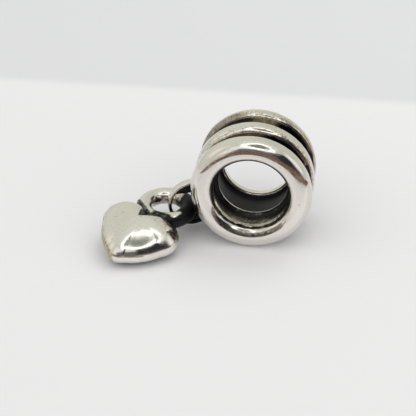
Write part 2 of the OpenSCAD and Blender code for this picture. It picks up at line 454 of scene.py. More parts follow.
shoulder = stretch_of(section_r, 3.45, 3.84, 0.06)
front_shoulders = shoulder * stretch_of(section_y, front_rib_end - 0.4, mid_rib_start + 0.4, 0.05)
rear_shoulders = shoulder * stretch_of(section_y, mid_rib_end - 0.4, rear_rib_start + 0.45, 0.05)
rear_face = shoulder * stretch_of(section_y, rear_rib_start - 0.05, rear_rib_start + 0.5, 0.1)
more_on_right = 0.15 * stretch_of(turn_degrees, *SHOULDERS_RIGHT)
barrel_film = (
    np.outer(0.3 + more_on_right, front_shoulders)
    + np.outer(0.35 + more_on_right, rear_shoulders)
    + np.outer(0.25 * stretch_of(turn_degrees, *REAR_FACE_LEFT), rear_face)
    + np.outer(0.6 * stretch_of(low_turn, *BORE_LOW), in_bore * bore_front)
    + np.outer(0.5 * stretch_of(low_turn, *LAND_LOW), on_land)
)
set_mask(barrel, "film", barrel_film.reshape(-1))
turned_part = 1 - smooth_step(section_r, BORE_SIDE_R, BORE_SIDE_R + 0.15)
turned_part *= below_lips * bore_front
set_mask(barrel, "turned", np.tile(turned_part, TURNS))
print("share of the barrel under a film:", round(float(barrel_film.mean()), 2))

# %% [markdown]
# ## The eye
# The eye is a ring of flat band, soldered to the left of the middle rib. Both rings of this
# charm are made the same way: a small closed section is carried round a circle. Blender's own
# torus would do for round wire, but not for a flat band. `ring_grid` takes any section, and
# lets its thickness waver, because bent and filed metal is never even.

# %% Bend the eye
EYE_R = 1.6
EYE_WALL = 0.22
EYE_W = 0.63
EYE_AWAY = 4.51
EYE_FALL = math.radians(25.5)
EYE_Y = -0.4
EYE_YAW = math.radians(20.7)
EYE_TURNS = 180
EYE_PLACE = np.array((-EYE_AWAY * math.cos(EYE_FALL), EYE_Y, -EYE_AWAY * math.sin(EYE_FALL)))


def ring_grid(ring_r, ring_section, around, dent, seed):
    """A section, given as (outwards, along the axis), carried round the Z axis."""
    t = np.linspace(0, 2 * math.pi, around, endpoint=False)
    spine = np.column_stack((np.cos(t), np.sin(t), np.zeros(around)))
    skin = spine[:, None, :] * ring_section[None, :, :1]
    skin[:, :, 2] = ring_section[:, 1]
    skin = skin.reshape(-1, 3)
    spine = np.repeat(spine * ring_r, len(ring_section), axis=0)
    reach = np.linalg.norm(skin, axis=1, keepdims=True)
    thinner = dent - wobble(spine + skin, 2.2, dent, seed)
    return spine + skin * (1 - thinner[:, None] / reach)


half_wall = EYE_WALL / 2
rim_place = EYE_W / 2 - half_wall
band_section = even_out(np.vstack((
    arc((0, -rim_place), half_wall, 180, 360, 12),
    arc((0, rim_place), half_wall, 0, 180, 12),
)), 0.05)
eye_mid_r = EYE_R - half_wall
eye_turn = np.array(Matrix.Rotation(EYE_YAW, 3, "Z") @ Matrix.Rotation(math.radians(90), 3, "X"))


def eye_to_world(points):
    """From the eye's own frame, where its axis is Z, to the charm's."""
    return np.asarray(points) @ eye_turn.T + EYE_PLACE + np.array(BORE)


eye_local = ring_grid(eye_mid_r, band_section, EYE_TURNS, dent=0.01, seed=3)
eye_faces = grid_faces(EYE_TURNS, len(band_section), close_rows=True)
eye = new_object("bead_eye", eye_to_world(eye_local), eye_faces)
recalculate_outside(eye)
print("points round the band's section:", len(band_section))

# %% [markdown]
# Solder runs into every corner it can reach, and here it has closed the two corners between
# the band and the barrel. Each fill is a segment of the ring's disc. It is drawn as strips
# that start inside the band, come forward to the free edge, go round it and return behind.

# %% Run solder into the eye's corners
SOLDER_T = 0.36
SOLDER_LEVEL = 0.72
SOLDER_EDGE = 0.14
SOLDER_STRIPS = 40
SOLDER_DENT = 0.05
LOWER_FROM = -104
LOWER_TO = 0


def solder_fill(name, start, end, seed):
    """A flat segment between two angles of the eye, with a rounded free edge."""
    ends = arc((0, 0), eye_mid_r, start, end, 1)
    along = ends[1] - ends[0]
    inwards = np.array((along[1], -along[0])) / np.linalg.norm(along)
    depth_share = np.concatenate((np.linspace(0, 0.3, 9)[:-1], np.linspace(0.3, 1, 8)))
    rows = []
    for share in np.linspace(0.002, 0.998, SOLDER_STRIPS):
        foot = ends[0] + share * along
        middle = foot @ inwards
        depth = -middle + math.sqrt(middle ** 2 - foot @ foot + eye_mid_r ** 2)
        run = depth * depth_share
        lift = SOLDER_T / 2 * np.sqrt(1 - (1 - np.minimum(run / SOLDER_EDGE, 1)) ** 2)
        flat = foot + run[:, None] * inwards
        front = np.column_stack((flat, lift))
        rear = np.column_stack((flat, -lift))
        rows.append(np.vstack((front[::-1], rear[1:])))
    points = np.vstack(rows)
    points[:, 2] *= 1 - SOLDER_DENT - wobble(points, 3.0, SOLDER_DENT, seed)
    faces = grid_faces(SOLDER_STRIPS, len(rows[0]), close_columns=False)
    return new_object(name, eye_to_world(points), faces)


upper_from = math.degrees(math.asin(SOLDER_LEVEL / eye_mid_r))
upper_solder = solder_fill("bead_solder_upper", upper_from, 180 - upper_from, seed=11)
lower_solder = solder_fill("bead_solder_lower", LOWER_FROM, LOWER_TO, seed=12)
print("solder points:", len(upper_solder.data.vertices) + len(lower_solder.data.vertices))

# %% [markdown]
# ## The puffed heart
# A puffed heart is swept between two ideas: a flat outline of two lobes, two flanks and a
# round tip, and a rounded section that draws that outline in towards the middle as it climbs.
# The cleft between the lobes fills up as it climbs, so that the top is one smooth cushion.
# Sculpting would give such a form too, but these few sizes keep both halves alike, and each of
# them can be changed alone.

# %% Sizes of the heart
LOBE_R = 1.43
LOBE_X = 1.29
TIP_Y = 3.1
TIP_R = 0.88
FLANK_BULGE = 0.2
CROWN_Y = 0.08
PUFF = 1.23
CLEFT_FILL = 0.1
HEART_X = -6.93
HEART_Y = -3.35
HEADING = math.radians(63.6)
PITCH = math.radians(11.5)
ROLL = math.radians(12)
heart_sides = (2 * (LOBE_X + LOBE_R), LOBE_R + TIP_Y, 2 * PUFF)
print("heart without its loop, mm:", [round(side, 2) for side in heart_sides])

# %% [markdown]
# Half of the outline is three smooth stretches: the arc of a lobe, a slightly bulging flank
# that leaves the lobe where it would touch the tip's circle too, and the arc of the tip. The
# other half is its mirror image.

# %% Draw the heart's outline
cleft_angle = 180 - math.degrees(math.acos(LOBE_X / LOBE_R))
tip_centre = np.array((0, TIP_R - TIP_Y))
lobe_centre = np.array((LOBE_X, 0))
to_tip = tip_centre - lobe_centre
flank_angle = math.degrees(
    math.atan2(to_tip[1], to_tip[0]) + math.acos((LOBE_R - TIP_R) / np.linalg.norm(to_tip))
)
lobe_arc = arc(lobe_centre, LOBE_R, cleft_angle, flank_angle, 70)
tip_arc = arc(tip_centre, TIP_R, flank_angle, -90, 18)
flank_share = np.linspace(0, 1, 30)[1:-1, None]
flank_out = np.array((math.cos(math.radians(flank_angle)), math.sin(math.radians(flank_angle))))
flank_line = (
    lobe_arc[-1] * (1 - flank_share)
    + tip_arc[0] * flank_share
    + FLANK_BULGE * np.sin(math.pi * flank_share) * flank_out
)
right_outline = np.vstack((lobe_arc, flank_line, tip_arc))
outline = np.vstack((right_outline, right_outline[-2:0:-1] * (-1, 1)))
print("points of the heart's outline:", len(outline))

# %% [markdown]
# The cushion is a stack of such outlines. Each ring is drawn in by the cosine of an angle and
# lifted by its sine, which makes a quarter round of the edge.

# %% Puff it up
HEART_RINGS = 90
LAST_RING = 89.4
LOBE_TOP = 0.98 * LOBE_R
CLEFT_W = 0.6 * LOBE_X


def heart_ring(angle):
    """The outline at one height of the cushion, from -90 degrees below to 90 above."""
    inset = max(math.cos(angle), 0)
    lift = abs(math.sin(angle))
    ring = outline.copy()
    upper = ring[:, 1] > 0
    fill = np.exp(-((ring[upper, 0] / CLEFT_W) ** 2)) * (LOBE_TOP - ring[upper, 1])
    ring[upper, 1] += CLEFT_FILL * lift * fill
    ring = (0, CROWN_Y) + inset * (ring - (0, CROWN_Y))
    return np.column_stack((ring, np.full(len(ring), PUFF * math.sin(angle))))


ring_angles = np.radians(np.linspace(-LAST_RING, LAST_RING, HEART_RINGS))
heart_local = np.vstack([heart_ring(a) for a in ring_angles])
print("heart points:", len(heart_local))

# %% [markdown]
# A cast heart is never quite smooth, so the grid is dented a little, and only inwards. Then it
# is turned as the heart lies, and lowered until its lowest point rests on the floor. The same
# move is kept in `heart_to_world`, because the loop and its solder follow the heart.

# %% Dent the heart and lay it down
HEART_DENT = 0.018
HEART_GRAIN = 0.002
FLOOR_GAP = 0.005

heart_turn = np.array(
    Matrix.Rotation(HEADING - math.pi / 2, 3, "Z")
    @ Matrix.Rotation(PITCH, 3, "X")
    @ Matrix.Rotation(ROLL, 3, "Y")
)
heart_dents = wobble(heart_local, 1.1, HEART_DENT, 5) + wobble(heart_local, 3.1, HEART_GRAIN, 6)
heart_middle = np.array((0, CROWN_Y, 0))
outwards = heart_local - heart_middle
outwards /= np.linalg.norm(outwards, axis=1, keepdims=True)
heart_local += outwards * (heart_dents - HEART_DENT - HEART_GRAIN)[:, None]
heart_lowest = (heart_local @ heart_turn.T)[:, 2].min()
HEART_PLACE = np.array((BORE.x + HEART_X, BORE.y + HEART_Y, -heart_lowest + FLOOR_GAP))


def heart_to_world(points):
    """From the heart's own frame to the charm's."""
    return np.asarray(points) @ heart_turn.T + HEART_PLACE


columns = len(outline)
heart_faces = grid_faces(HEART_RINGS, columns)
heart_faces.append(tuple(range(columns - 1, -1, -1)))
heart_faces.append(tuple(range((HEART_RINGS - 1) * columns, HEART_RINGS * columns)))
heart = new_object("heart_body", heart_to_world(heart_local), heart_faces)
recalculate_outside(heart)
print("the heart's own frame starts at, mm:", [round(float(v), 2) for v in HEART_PLACE])

# %% [markdown]
# ## The heart's loop
# The loop is a ring of thick round wire, made by the helper that made the eye. Its right end
# passes through the eye, and its left end stands over the cleft of the heart. It is placed in
# the heart's own frame, because it was soldered to the heart and lies as the heart lies.

# %% Bend the loop
LOOP_WIRE_R = 0.56
LOOP_R = 1.47
LOOP_PLACE = np.array((0.17, 2.6, -0.1))
LOOP_LEAN = math.radians(-10)
LOOP_TILT = math.radians(-9.5)
LOOP_TURNS = 180

wire_section = arc((0, 0), LOOP_WIRE_R, 0, 360, 40)[:-1]
loop_turn = np.array(Matrix.Rotation(LOOP_TILT, 3, "Y") @ Matrix.Rotation(LOOP_LEAN, 3, "X"))
loop_flat = ring_grid(LOOP_R, wire_section, LOOP_TURNS, dent=0.014, seed=8)
loop_local = loop_flat @ loop_turn.T + LOOP_PLACE
loop_faces = grid_faces(LOOP_TURNS, len(wire_section), close_rows=True)
loop = new_object("heart_loop", heart_to_world(loop_local), loop_faces)
recalculate_outside(loop)
print("loop across, mm:", round(2 * (LOOP_R + LOOP_WIRE_R), 2))

# %% [markdown]
# Solder fills the corners between the loop and the lobes. A convex hull round three balls
# gives the rough shape of such a fillet: one ball on the lobe, one in the cleft and one inside
# the loop's wire. Cutting the hull's faces finer and relaxing them makes it look run, not cut.

# %% Run fillets between the loop and the lobes
FILLET_ON_LOBE = (1.18, 1.12, -0.05)
FILLET_IN_CLEFT = (0.35, 0.9, -0.05)
FILLET_ANGLE = math.radians(38)
FILLET_RADII = (0.32, 0.4, 0.34)
LONG_EDGE = 0.2


def ball(centre, radius):
    """Points of a small ball, for a hull."""
    around = np.linspace(0, 2 * math.pi, 28, endpoint=False)
    t, p = np.meshgrid(around, np.linspace(0, math.pi, 15))
    skin = np.stack((np.cos(t) * np.sin(p), np.sin(t) * np.sin(p), np.cos(p)), -1)
    return np.asarray(centre) + radius * skin.reshape(-1, 3)


def fillet(name, side):
    """A fillet on the left side, -1, or the right side, 1."""
    mirror = np.array((side, 1, 1))
    towards = np.array((math.cos(FILLET_ANGLE), -math.sin(FILLET_ANGLE), 0))
    on_loop = LOOP_PLACE + LOOP_R * mirror * towards
    centres = (FILLET_ON_LOBE * mirror, FILLET_IN_CLEFT * mirror, on_loop)
    cloud = np.vstack([ball(c, r) for c, r in zip(centres, FILLET_RADII)])
    piece = new_object(name, heart_to_world(cloud), [])
    shell = bmesh.new()
    shell.from_mesh(piece.data)
    bmesh.ops.convex_hull(shell, input=shell.verts)
    bmesh.ops.delete(shell, geom=[v for v in shell.verts if not v.link_faces], context="VERTS")
    bmesh.ops.triangulate(shell, faces=shell.faces)
    long_edges = [e for e in shell.edges if e.calc_length() > LONG_EDGE * MM]
    bmesh.ops.subdivide_edges(shell, edges=long_edges, cuts=5, use_grid_fill=True)
    all_axes = {"use_axis_x": True, "use_axis_y": True, "use_axis_z": True}
    for _ in range(3):
        bmesh.ops.smooth_vert(shell, verts=shell.verts, factor=0.5, **all_axes)
    for face in shell.faces:
        face.smooth = True
    shell.to_mesh(piece.data)
    shell.free()
    recalculate_outside(piece)
    return piece


left_fillet = fillet("heart_fillet_left", -1)
right_fillet = fillet("heart_fillet_right", 1)
print("fillet points:", len(left_fillet.data.vertices) + len(right_fillet.data.vertices))

# %% [markdown]
# ## Tarnish and painted shade on the small pieces
# Silver darkens with time, and polishing brightens it again wherever a cloth reaches. On the
# barrel such places could be listed, but the eye, the heart and the loop hide each other
# in a less simple way. So a short ray is sent from each of their points in many directions: the
# more of them that strike metal or the floor, the more hidden the point is.
# Rays stopped by metal find the hollows where tarnish stays; rays stopped by the floor add painted
# shade under the pieces.

# %% Measure how hidden each point is
HIDDEN_REACH = 1.3
HIDDEN_RAYS = 28
RAY_START = 0.02


def spread_directions(count):
    """Directions spread evenly over the half sphere round +Z, as numpy rows."""
    k = np.arange(count) + 0.5
    rise = np.sqrt(1 - k / count)
    spin = math.pi * (1 + 5 ** 0.5) * k
    flat = np.sqrt(1 - rise ** 2)
    return np.column_stack((flat * np.cos(spin), flat * np.sin(spin), rise))


def hidden_share(piece, tree):
    """For each point, the share of short rays that are stopped."""
    rays = spread_directions(HIDDEN_RAYS)
    shares = []
    for vertex in piece.data.vertices:
        normal = vertex.normal
        turn_to = normal.to_track_quat("Z", "Y").to_matrix()
        start = vertex.co / MM + normal * RAY_START
        stopped = 0
        for ray in rays:
            way = turn_to @ Vector(ray)
            # A ray that meets the floor counts as stopped, which paints shade under the pieces.
            floor_hit = way.z < 0 and start.z < -way.z * HIDDEN_REACH
            if floor_hit or tree.ray_cast(start, way, HIDDEN_REACH)[0] is not None:
                stopped += 1
        shares.append(stopped / HIDDEN_RAYS)
    return np.array(shares)


print("rays from each point:", len(spread_directions(HIDDEN_RAYS)))

# %% [markdown]
# The rays have to meet every piece of the charm, so all of them go into one tree, which finds
# the first face on a ray's way without trying them all.

# %% Measure the small pieces
solder_pieces = (upper_solder, lower_solder, left_fillet, right_fillet)
whole_points = []
whole_faces = []
for piece in (barrel, eye, heart, loop, *solder_pieces):
    first = len(whole_points)
    whole_points.extend(v.co / MM for v in piece.data.vertices)
    whole_faces.extend([first + i for i in f.vertices] for f in piece.data.polygons)
metal = BVHTree.FromPolygons(whole_points, whole_faces)
hidden_of = {}
for piece in (eye, heart, loop):
    hidden_of[piece.name] = hidden_share(piece, metal)
    print(piece.name, "hidden share", round(float(hidden_of[piece.name].mean()), 2))

# %% [markdown]
# The loop is black on its right end, where it sits in the eye: patina that no cloth reaches,
# with painted shade between the parts. Along its lower front, where the wire faces down and
# forward, the black is painted shade. Its places are judged by three things: where a point is
# on the heart, where it is from the bore, and which way its surface faces. `right_of` helps
# with an edge that runs straight across the metal, like the edge of the painted shade on the
# loop's left foot.

# %% Darken the loop
LOOP_SAIL_FROM = (-1.35, 1.9)
LOOP_SAIL_TO = (-0.02, 1.12)


def normals_of(piece):
    """Which way the surface faces at each point."""
    return np.array([v.normal for v in piece.data.vertices])


def right_of(points, start, end):
    """Distance to the right of a line in the heart's own plane."""
    along = np.subtract(end, start) / np.linalg.norm(np.subtract(end, start))
    return (points[:, 0] - start[0]) * along[1] - (points[:, 1] - start[1]) * along[0]


loop_x = loop_local[:, 0]
loop_y = loop_local[:, 1]
front_arc = smooth_step(loop_x, 0.3, 0.8)
left_half = 1 - smooth_step(loop_x, 0.0, 0.5)
facing = normals_of(loop)
from_bore = heart_to_world(loop_local) - np.array(BORE)
hidden_loop = smooth_step(hidden_of["heart_loop"], 0.26, 0.7) * (1 - 0.4 * left_half)
# Painted shade: the lower front, where the wire faces down and forward.
loop_front = smooth_step(-facing[:, 1], 0.1, 0.4) * (1 - smooth_step(facing[:, 2], 0.62, 0.86))
loop_front *= 1 - smooth_step(from_bore[:, 1], -1.6, -1.1)
# This line and the next: the right end by the eye, black as patina and as painted shade between the
# parts.
loop_right = smooth_step(facing[:, 0], 0.24, 0.42) * smooth_step(from_bore[:, 0], -5.2, -4.7)
far_end = front_arc * smooth_step(loop_y, 2.1, 2.35)
near_end = 0.75 * smooth_step(loop_x, -0.2, 0.2) * (1 - smooth_step(loop_y, 1.45, 1.7))
# Painted shade on the loop's left foot, past a straight edge.
past_edge = smooth_step(right_of(loop_local, LOOP_SAIL_FROM, LOOP_SAIL_TO), -0.02, 0.08)
left_foot = 0.7 * past_edge * (1 - front_arc)
dark_parts = (hidden_loop, loop_front, loop_right, far_end, near_end, left_foot)
loop_dark = np.maximum.reduce(dark_parts)
set_mask(loop, "dark", loop_dark)
set_mask(loop, "film", 0.5 * smooth_step(hidden_of["heart_loop"], 0.12, 0.4))
print("share of the loop that is dark:", round(float(loop_dark.mean()), 2))

# %% [markdown]
# The eye has a film on its flat rims, and is dark low down, where the solder is: partly patina and
# partly painted shade.

# %% Darken the eye
rim_facing = smooth_step(normals_of(eye) @ eye_turn[:, 2], 0.2, 0.8)
# Painted shade with patina: the lower part of the eye is darkened.
eye_low = 1 - smooth_step(eye_local[:, 1], -0.7, 0.5)
eye_dark = np.maximum(smooth_step(hidden_of["bead_eye"], 0.25, 0.6), 0.9 * eye_low)
set_mask(eye, "dark", eye_dark)
set_mask(eye, "film", np.clip(0.4 * rim_facing + 0.5 * eye_low, 0, 1))
print("share of the eye that is dark:", round(float(eye_dark.mean()), 2))

# %% [markdown]
# The inner slope of the heart's left lobe, in the cleft beside the loop, carries painted shade:
# a dark sail with a clear edge, which two straight lines describe. It is joined by a small
# stained spot on the right shoulder, a painted brown reflection of the table in a line along the
# edge near the tip, and a brown left side.

# %% Darken the heart
SAIL_FOOT = (-0.27, -0.06)
SAIL_LEFT = (-0.52, 0.72)
SAIL_RIGHT = (0.12, 0.24)
SPOT = (2.24, 0.56)
SPOT_R = 0.25
SOLDER_DARK = 0.85
BROWN_REFLECTION_BAND = (0.28, 0.33, 0.04)


def nearness(piece, other, reach):
    """1 on the other piece, fading to 0 at that distance."""
    points = [v.co / MM for v in other.data.vertices]
    tree = BVHTree.FromPolygons(points, [list(f.vertices) for f in other.data.polygons])
    away = [tree.find_nearest(v.co / MM)[3] for v in piece.data.vertices]
    return 1 - smooth_step(away, reach * 0.2, reach)


# Painted shade: the dark sail on the cleft's wall beside the loop.
sail = smooth_step(right_of(heart_local, SAIL_FOOT, SAIL_LEFT), 0.0, 0.05)
sail *= smooth_step(-right_of(heart_local, SAIL_FOOT, SAIL_RIGHT), 0.0, 0.05)
sail *= smooth_step(heart_local[:, 2], 0.0, 0.2)
heart_normals = normals_of(heart)
# Next to the loop the heart is darkened: a crust there, together with painted shade under the loop.
by_loop = nearness(heart, loop, 0.42) * smooth_step(heart_local[:, 0], 0.2, 0.7)
from_spot = np.hypot(heart_local[:, 0] - SPOT[0], 0.8 * (heart_local[:, 1] - SPOT[1]))
upper_half = smooth_step(heart_local[:, 2], 0.0, 0.15)
spot = 0.68 * (1 - smooth_step(from_spot, SPOT_R * 0.5, SPOT_R)) * upper_half
# Painted reflection of the brown table: a thin brown line near the tip's edge.
brown_reflection_line = stretch_of(heart_local[:, 2], *BROWN_REFLECTION_BAND)
brown_reflection_line *= 1 - smooth_step(heart_local[:, 1], -2.2, -1.6)
brown_reflection_line *= smooth_step(heart_local[:, 0], -0.15, 0.1)
hidden_heart = smooth_step(hidden_of["heart_body"], 0.5, 0.8)
heart_dark = np.maximum.reduce((hidden_heart, 0.72 * sail, by_loop, spot, 0.42 * brown_reflection_line))
set_mask(heart, "dark", heart_dark)
flank = 1 - smooth_step(heart_normals[:, 2], 0.35, 0.85)
left_side = smooth_step(-heart_normals[:, 0], 0.1, 0.6)
spot_rim = (1 - smooth_step(from_spot, SPOT_R, SPOT_R * 1.5)) * upper_half
films_and_reflection = (0.65 * flank * left_side, 0.35 * nearness(heart, loop, 1.0), brown_reflection_line, 0.8 * spot_rim)
set_mask(heart, "film", np.maximum.reduce(films_and_reflection))
for piece in solder_pieces:
    set_mask(piece, "dark", np.full(len(piece.data.vertices), SOLDER_DARK))
print("share of the heart that is dark:", round(float(heart_dark.mean()), 2))

# %% [markdown]
# ## Silver
# Polished silver is a metal surface whose colour is slightly warm, and whose roughness is low
# but never zero. Three things make it believable: fine scratches from wear, tiny pits from
# casting, and dark silver sulphide in the corners. The first two are node groups that both
# materials share. A group gives out only heights and masks, and the shader stays outside it.

# %% Node helpers
def new_group(name, inputs, outputs):
    """An empty shader group with float sockets. Inputs are (name, default) pairs."""
    group = bpy.data.node_groups.new(name, "ShaderNodeTree")
    for socket_name, default in inputs:
        socket = group.interface.new_socket(socket_name, in_out="INPUT", socket_type="NodeSocketFloat")
        socket.default_value = default
    for socket_name in outputs:
        group.interface.new_socket(socket_name, in_out="OUTPUT", socket_type="NodeSocketFloat")
    return group


def add(tree, kind, values=None, **settings):
    """A node of that kind, with its settings and socket values."""
    node = tree.nodes.new(kind)
    for key, value in settings.items():
        setattr(node, key, value)
    for key, value in (values or {}).items():
        node.inputs[key].default_value = value
    return node


def math_node(tree, operation, first, second=None, clamp=False):
    """A Math node. Each operand is a socket or a number."""
    node = add(tree, "ShaderNodeMath", operation=operation, use_clamp=clamp)
    for slot, operand in enumerate((first, second)):
        if isinstance(operand, (int, float)):
            node.inputs[slot].default_value = operand
        elif operand is not None:
            tree.links.new(operand, node.inputs[slot])
    return node.outputs[0]


def map_range(tree, value, low, high, to_low=0.0, to_high=1.0):
    """A clamped smooth Map Range node."""
    node = add(tree, "ShaderNodeMapRange", interpolation_type="SMOOTHSTEP")
    tree.links.new(value, node.inputs["Value"])
    node.inputs["From Min"].default_value = low
    node.inputs["From Max"].default_value = high
    node.inputs["To Min"].default_value = to_low
    node.inputs["To Max"].default_value = to_high
    return node.outputs["Result"]


def stretched_place(tree, stretch, turn_by=(0, 0, 0)):
    """Object coordinates in millimetres, stretched and turned."""
    coordinates = add(tree, "ShaderNodeTexCoord")
    mapping = add(tree, "ShaderNodeMapping", {
        "Scale": tuple(s / MM for s in stretch),
        "Rotation": turn_by,
    })
    tree.links.new(coordinates.outputs["Object"], mapping.inputs["Vector"])
    return mapping.outputs["Vector"]

# %% [markdown]
# Scratches are noise that has been stretched a long way in one direction and cut to its thin
# middle values. Three layers in different directions cross each other, as wear does.

# %% Build the scratch group
def scratch_layer(tree, stretch, turn_by, width):
    """One direction of scratches: 1 in a scratch, 0 beside it."""
    source = add(tree, "ShaderNodeTexNoise", {"Scale": 1.0, "Detail": 2.0, "Roughness": 0.6})
    tree.links.new(stretched_place(tree, stretch, turn_by), source.inputs["Vector"])
    centred = math_node(tree, "SUBTRACT", source.outputs["Fac"], 0.5)
    distance = math_node(tree, "ABSOLUTE", centred)
    return map_range(tree, distance, 0.0, width, 1.0, 0.0)


scratches = new_group("fine scratches", [("Amount", 1.0)], ["Height"])
g_in = add(scratches, "NodeGroupInput")
g_out = add(scratches, "NodeGroupOutput")
layers = [
    scratch_layer(scratches, (0.6, 9.0, 5.0), (0.3, 0.5, 0.9), width=0.012),
    scratch_layer(scratches, (7.0, 0.5, 6.0), (0.9, -0.4, 0.2), width=0.010),
    scratch_layer(scratches, (5.0, 8.0, 0.7), (-0.5, 0.2, 1.3), width=0.010),
]
first_two = math_node(scratches, "ADD", layers[0], layers[1])
crossing = math_node(scratches, "ADD", first_two, layers[2], clamp=True)
patches = add(scratches, "ShaderNodeTexNoise", {"Scale": 1.3, "Detail": 1.0})
scratches.links.new(stretched_place(scratches, (1, 1, 1)), patches.inputs["Vector"])
worn = map_range(scratches, patches.outputs["Fac"], 0.42, 0.62)
scratched = math_node(scratches, "MULTIPLY", crossing, worn)
scaled = math_node(scratches, "MULTIPLY", scratched, g_in.outputs["Amount"])
scratches.links.new(scaled, g_out.inputs["Height"])
print("nodes in the scratch group:", len(scratches.nodes))

# %% [markdown]
# Pits are the cells of a Voronoi texture, most of which are switched off by a random number,
# so that what is left is scattered and uneven in size.

# %% Build the pit group
pits = new_group("casting pits", [("Share", 0.2)], ["Mask"])
g_in = add(pits, "NodeGroupInput")
g_out = add(pits, "NodeGroupOutput")
cells = add(pits, "ShaderNodeTexVoronoi", {"Scale": 3.2, "Randomness": 1.0})
pits.links.new(stretched_place(pits, (1, 1, 1)), cells.inputs["Vector"])
split = add(pits, "ShaderNodeSeparateColor")
pits.links.new(cells.outputs["Color"], split.inputs["Color"])
size = map_range(pits, split.outputs["Green"], 0.0, 1.0, 0.05, 0.22)
from_middle = math_node(pits, "DIVIDE", cells.outputs["Distance"], size)
inside = math_node(pits, "SUBTRACT", 1.0, from_middle, clamp=True)
chosen = math_node(pits, "LESS_THAN", split.outputs["Red"], g_in.outputs["Share"])
pits.links.new(math_node(pits, "MULTIPLY", inside, chosen), g_out.inputs["Mask"])
print("nodes in the pit group:", len(pits.nodes))

# %% [markdown]
# Cast and tumbled silver is never quite flat. A soft noise makes broad shallow dents, and a
# finer one a faint grain, which together break a mirror image into patches.

# %% Build the cast skin group
skin_group = new_group("cast skin", [("Dents", 1.0), ("Grain", 1.0)], ["Height"])
g_in = add(skin_group, "NodeGroupInput")
g_out = add(skin_group, "NodeGroupOutput")
height = None
for socket_name, scale, detail in (("Dents", 1.7, 2.0), ("Grain", 9.0, 3.0)):
    source = add(skin_group, "ShaderNodeTexNoise", {"Scale": scale, "Detail": detail})
    skin_group.links.new(stretched_place(skin_group, (1, 1, 1)), source.inputs["Vector"])
    part = math_node(skin_group, "MULTIPLY", source.outputs["Fac"], g_in.outputs[socket_name])
    height = part if height is None else math_node(skin_group, "ADD", height, part)
skin_group.links.new(height, g_out.inputs["Height"])
print("nodes in the skin group:", len(skin_group.nodes))

# %% [markdown]
# The bore was turned, and the tool has left fine rings in it. They depend only on the place
# along the bore, so a noise that is squeezed to nothing in the other two directions draws them.

# %% Build the turning lines group
turning = new_group("turning lines", [("Amount", 1.0)], ["Height"])
g_in = add(turning, "NodeGroupInput")
g_out = add(turning, "NodeGroupOutput")
source = add(turning, "ShaderNodeTexNoise", {"Scale": 1.0, "Detail": 2.0, "Roughness": 0.7})
turning.links.new(stretched_place(turning, (0.05, 9.0, 0.05)), source.inputs["Vector"])
lines = math_node(turning, "MULTIPLY", source.outputs["Fac"], g_in.outputs["Amount"])
turning.links.new(lines, g_out.inputs["Height"])
print("nodes in the turning group:", len(turning.nodes))

# %% [markdown]
# The dark finish, tarnish together with painted shade, is soft at its edge and broken by wear.
# This group takes the stored mask and eats into it with noise, and also gives out a thin brown
# rim where the layer fades.

# %% Build the tarnish and painted shade group
tarnish_and_shade = new_group("tarnish_and_shade", [("Dark", 0.0), ("Film", 0.0), ("Break Up", 0.5)], ["Mask", "Rim"])
g_in = add(tarnish_and_shade, "NodeGroupInput")
g_out = add(tarnish_and_shade, "NodeGroupOutput")
blotch = add(tarnish_and_shade, "ShaderNodeTexNoise", {"Scale": 3.0, "Detail": 4.0, "Roughness": 0.6})
tarnish_and_shade.links.new(stretched_place(tarnish_and_shade, (1, 1, 1)), blotch.inputs["Vector"])
shifted = math_node(tarnish_and_shade, "SUBTRACT", blotch.outputs["Fac"], 0.5)
pushed = math_node(tarnish_and_shade, "MULTIPLY", shifted, g_in.outputs["Break Up"])
speckle = add(tarnish_and_shade, "ShaderNodeTexNoise", {"Scale": 7.0, "Detail": 5.0, "Roughness": 0.7})
tarnish_and_shade.links.new(stretched_place(tarnish_and_shade, (1, 1, 1)), speckle.inputs["Vector"])
fine = math_node(tarnish_and_shade, "SUBTRACT", speckle.outputs["Fac"], 0.5)
pushed_fine = math_node(tarnish_and_shade, "ADD", pushed, math_node(tarnish_and_shade, "MULTIPLY", fine, 0.8))
edge = math_node(tarnish_and_shade, "ADD", g_in.outputs["Dark"], pushed_fine)
mask = map_range(tarnish_and_shade, edge, 0.3, 0.75)
rim_out = map_range(tarnish_and_shade, edge, 0.2, 0.45)
uneven_film = math_node(tarnish_and_shade, "ADD", g_in.outputs["Film"], math_node(tarnish_and_shade, "MULTIPLY", fine, 1.6))
film = map_range(tarnish_and_shade, uneven_film, 0.25, 0.6)
haze = map_range(tarnish_and_shade, speckle.outputs["Fac"], 0.42, 0.75, 0.0, 0.16)
thin = math_node(tarnish_and_shade, "MAXIMUM", math_node(tarnish_and_shade, "MAXIMUM", rim_out, film), haze)
rim = math_node(tarnish_and_shade, "SUBTRACT", thin, mask, clamp=True)
tarnish_and_shade.links.new(mask, g_out.inputs["Mask"])
tarnish_and_shade.links.new(rim, g_out.inputs["Rim"])
print("nodes in the tarnish group:", len(tarnish_and_shade.nodes))

# %% [markdown]
# Each silver mixes three colours by those masks: clean silver, a thin brownish film, and the
# nearly black layer in the hollows, which is brown on the crests of the turning lines. The film
# and the black also carry the painted shade and painted reflections that the masks hold.

# %% Mix the silver's colours
SILVER = (0.77, 0.73, 0.69, 1)
FILM_AND_REFLECTION_BROWN = (0.40, 0.33, 0.23, 1)
TARNISH_AND_SHADE_BLACK = (0.026, 0.026, 0.028, 1)
TURNED_BROWN = (0.30, 0.25, 0.17, 1)
BROWN_FROM = 1.9
BROWN_FULL = 2.7


def mixed(tree, factor, first, second):
    """A mix of two colours. Each of them is a colour or a socket."""
    node = add(tree, "ShaderNodeMix", data_type="RGBA")
    tree.links.new(factor, node.inputs["Factor"])
    for slot, colour in ((6, first), (7, second)):
        if isinstance(colour, tuple):
            node.inputs[slot].default_value = colour
        else:
            tree.links.new(colour, node.inputs[slot])
    return node.outputs[2]


